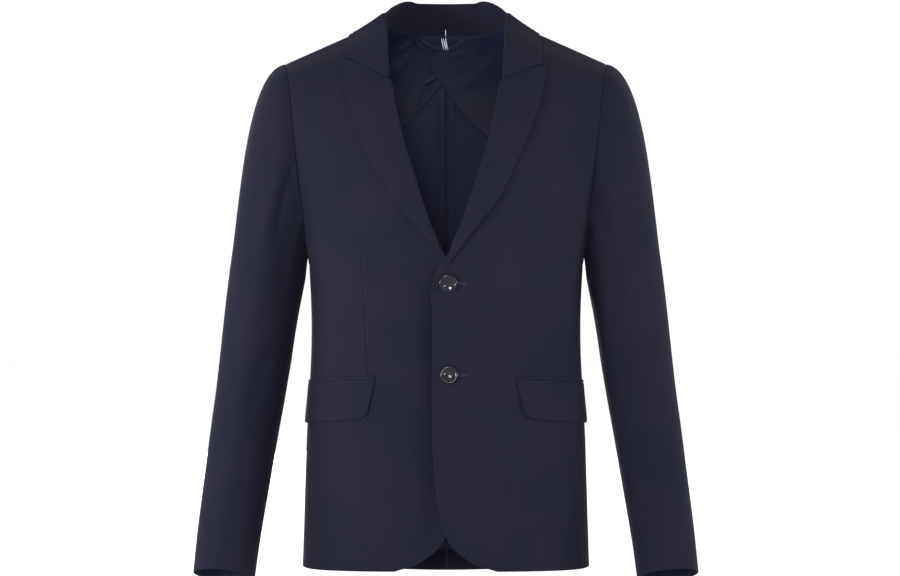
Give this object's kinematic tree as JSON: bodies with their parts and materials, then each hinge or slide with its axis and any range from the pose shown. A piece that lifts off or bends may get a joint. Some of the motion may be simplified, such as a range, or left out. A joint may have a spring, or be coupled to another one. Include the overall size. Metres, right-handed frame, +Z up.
{
  "type": "suit jacket",
  "caption": "Single-breasted suit jacket in smooth navy wool, hollow as if worn, with notched lapels, flap pockets, a chest welt and open cuffs.",
  "frame": {"origin": "on the body's centre plane, level with the highest point of the back neck seam's ridge line, where the wearer's shoulders and neck would hold the jacket up", "axes": "+X to the wearer's left, +Y towards the wearer's back, +Z up"},
  "size_m": [0.6712, 0.2595, 0.787],
  "materials": {
    "wool": "fine matt wool, smooth",
    "lining": "satin lining",
    "buttons": "polished, four holes"
  },
  "bodies": {
    "root": {"back_left": "wool", "back_right": "wool", "chest_welt": "wool", "front_left": "wool", "front_right": "wool", "hem_turnup_left": "wool", "hem_turnup_right": "wool", "lapel_left": "wool", "lapel_right": "wool", "pocket_flap_left": "wool", "pocket_flap_right": "wool", "pocket_jet_left": "wool", "pocket_jet_right": "wool", "side_panel_left": "wool", "side_panel_right": "wool", "sleeve_top_left": "wool", "sleeve_top_right": "wool", "sleeve_under_left": "wool", "sleeve_under_right": "wool", "top_collar": "wool", "under_collar": "wool", "back_lining_left": "lining", "back_lining_right": "lining", "hanger_loop": "lining", "seam_binding_left": "lining", "seam_binding_right": "lining", "button_lower": "buttons", "button_upper": "buttons"}
  },
  "joints": []
}
